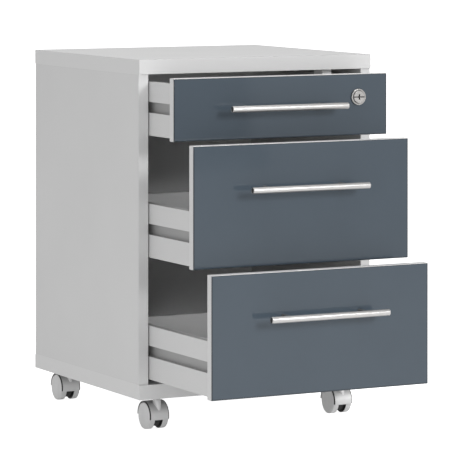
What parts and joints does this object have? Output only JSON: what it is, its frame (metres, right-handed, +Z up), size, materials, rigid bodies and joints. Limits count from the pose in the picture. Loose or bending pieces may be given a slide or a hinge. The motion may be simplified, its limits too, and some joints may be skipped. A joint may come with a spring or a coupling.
{
  "type": "rolling pedestal cabinet",
  "caption": "Rolling office pedestal with a board carcass on swivel casters and sliding drawers, one lockable, with gloss fronts and round bar handles.",
  "frame": {"origin": "on the floor, at the middle of the overall box in X and Y, drawers standing open as modelled", "axes": "+X to the right seen from the front, +Y to the back, +Z up; drawers open towards -Y"},
  "size_m": [0.4, 0.6154, 0.56],
  "materials": {
    "carcass_board": "light grey melamine-faced chipboard, satin",
    "drawer_board": "light grey foil-wrapped board, satin",
    "gloss_front": "slate blue-grey high gloss face, light grey edge banding",
    "base_sheet": "light grey painted hardboard",
    "runner_plastic": "white moulded strip, matte",
    "catch_plastic": "light grey moulded block, matte",
    "handle_metal": "satin nickel plated bar",
    "lock_metal": "satin nickel plated die casting",
    "zinc_steel": "bright zinc plated steel",
    "beech": "plain beech dowel",
    "caster_plastic": "silver-grey moulded nylon, low sheen"
  },
  "bodies": {
    "carcass": {"top_board": "carcass_board", "bottom_board": "carcass_board", "left_side_panel": "carcass_board", "right_side_panel": "carcass_board", "back_panel": "carcass_board", "carcass_dowels": "beech", "carcass_screws": "zinc_steel", "runner_strips": "runner_plastic", "wood_screws": "zinc_steel", "lock_catch": "catch_plastic", "caster_sockets": "zinc_steel"},
    "top_drawer": {"top_drawer_front": "gloss_front", "top_drawer_left_side": "drawer_board", "top_drawer_right_side": "drawer_board", "top_drawer_back": "drawer_board", "top_drawer_base": "base_sheet", "top_drawer_handle_bar": "handle_metal", "top_drawer_handle_posts": "handle_metal", "top_drawer_handle_screws": "zinc_steel", "lock_housing": "lock_metal", "lock_nut": "zinc_steel"},
    "middle_drawer": {"middle_drawer_front": "gloss_front", "middle_drawer_left_side": "drawer_board", "middle_drawer_right_side": "drawer_board", "middle_drawer_back": "drawer_board", "middle_drawer_base": "base_sheet", "middle_drawer_handle_bar": "handle_metal", "middle_drawer_handle_posts": "handle_metal", "middle_drawer_handle_screws": "zinc_steel"},
    "bottom_drawer": {"bottom_drawer_front": "gloss_front", "bottom_drawer_left_side": "drawer_board", "bottom_drawer_right_side": "drawer_board", "bottom_drawer_back": "drawer_board", "bottom_drawer_base": "base_sheet", "bottom_drawer_handle_bar": "handle_metal", "bottom_drawer_handle_posts": "handle_metal", "bottom_drawer_handle_screws": "zinc_steel"},
    "lock_core": {"lock_plug": "lock_metal", "lock_cam": "zinc_steel", "lock_cam_screw": "zinc_steel"},
    "front_left_caster": {"front_left_caster_hood": "caster_plastic", "front_left_caster_stem": "zinc_steel", "front_left_caster_axle": "zinc_steel"},
    "front_left_caster_left_wheel": {"front_left_caster_left_wheel": "caster_plastic"},
    "front_left_caster_right_wheel": {"front_left_caster_right_wheel": "caster_plastic"},
    "front_right_caster": {"front_right_caster_hood": "caster_plastic", "front_right_caster_stem": "zinc_steel", "front_right_caster_axle": "zinc_steel"},
    "front_right_caster_left_wheel": {"front_right_caster_left_wheel": "caster_plastic"},
    "front_right_caster_right_wheel": {"front_right_caster_right_wheel": "caster_plastic"},
    "rear_left_caster": {"rear_left_caster_hood": "caster_plastic", "rear_left_caster_stem": "zinc_steel", "rear_left_caster_axle": "zinc_steel"},
    "rear_left_caster_left_wheel": {"rear_left_caster_left_wheel": "caster_plastic"},
    "rear_left_caster_right_wheel": {"rear_left_caster_right_wheel": "caster_plastic"},
    "rear_right_caster": {"rear_right_caster_hood": "caster_plastic", "rear_right_caster_stem": "zinc_steel", "rear_right_caster_axle": "zinc_steel"},
    "rear_right_caster_left_wheel": {"rear_right_caster_left_wheel": "caster_plastic"},
    "rear_right_caster_right_wheel": {"rear_right_caster_right_wheel": "caster_plastic"}
  },
  "joints": [
    {"name": "top_drawer_slide", "type": "slide", "parent": "carcass", "child": "top_drawer", "axis": [0, -1, 0], "range_m": [-0.082, 0.138]},
    {"name": "middle_drawer_slide", "type": "slide", "parent": "carcass", "child": "middle_drawer", "axis": [0, -1, 0], "range_m": [-0.146, 0.074]},
    {"name": "bottom_drawer_slide", "type": "slide", "parent": "carcass", "child": "bottom_drawer", "axis": [0, -1, 0], "range_m": [-0.204, 0.016]},
    {"name": "lock_turn", "type": "hinge", "parent": "top_drawer", "child": "lock_core", "pos_m": [0.132, -0.15325, 0.4996], "axis": [0, -1, 0], "range_deg": [0, 90]},
    {"name": "front_left_swivel", "type": "hinge", "parent": "carcass", "child": "front_left_caster", "pos_m": [-0.1592, -0.04925, 0.05], "axis": [0, 0, 1], "continuous": true},
    {"name": "front_left_left_wheel_roll", "type": "hinge", "parent": "front_left_caster", "child": "front_left_caster_left_wheel", "pos_m": [-0.1592, -0.03835, 0.0202], "axis": [1, 0, 0], "continuous": true},
    {"name": "front_left_right_wheel_roll", "type": "hinge", "parent": "front_left_caster", "child": "front_left_caster_right_wheel", "pos_m": [-0.1592, -0.03835, 0.0202], "axis": [1, 0, 0], "continuous": true},
    {"name": "front_right_swivel", "type": "hinge", "parent": "carcass", "child": "front_right_caster", "pos_m": [0.1592, -0.04925, 0.05], "axis": [0, 0, 1], "continuous": true},
    {"name": "front_right_left_wheel_roll", "type": "hinge", "parent": "front_right_caster", "child": "front_right_caster_left_wheel", "pos_m": [0.1592, -0.03835, 0.0202], "axis": [1, 0, 0], "continuous": true},
    {"name": "front_right_right_wheel_roll", "type": "hinge", "parent": "front_right_caster", "child": "front_right_caster_right_wheel", "pos_m": [0.1592, -0.03835, 0.0202], "axis": [1, 0, 0], "continuous": true},
    {"name": "rear_left_swivel", "type": "hinge", "parent": "carcass", "child": "rear_left_caster", "pos_m": [-0.1592, 0.26925, 0.05], "axis": [0, 0, 1], "continuous": true},
    {"name": "rear_left_left_wheel_roll", "type": "hinge", "parent": "rear_left_caster", "child": "rear_left_caster_left_wheel", "pos_m": [-0.1592, 0.28015, 0.0202], "axis": [1, 0, 0], "continuous": true},
    {"name": "rear_left_right_wheel_roll", "type": "hinge", "parent": "rear_left_caster", "child": "rear_left_caster_right_wheel", "pos_m": [-0.1592, 0.28015, 0.0202], "axis": [1, 0, 0], "continuous": true},
    {"name": "rear_right_swivel", "type": "hinge", "parent": "carcass", "child": "rear_right_caster", "pos_m": [0.1592, 0.26925, 0.05], "axis": [0, 0, 1], "continuous": true},
    {"name": "rear_right_left_wheel_roll", "type": "hinge", "parent": "rear_right_caster", "child": "rear_right_caster_left_wheel", "pos_m": [0.1592, 0.28015, 0.0202], "axis": [1, 0, 0], "continuous": true},
    {"name": "rear_right_right_wheel_roll", "type": "hinge", "parent": "rear_right_caster", "child": "rear_right_caster_right_wheel", "pos_m": [0.1592, 0.28015, 0.0202], "axis": [1, 0, 0], "continuous": true}
  ]
}
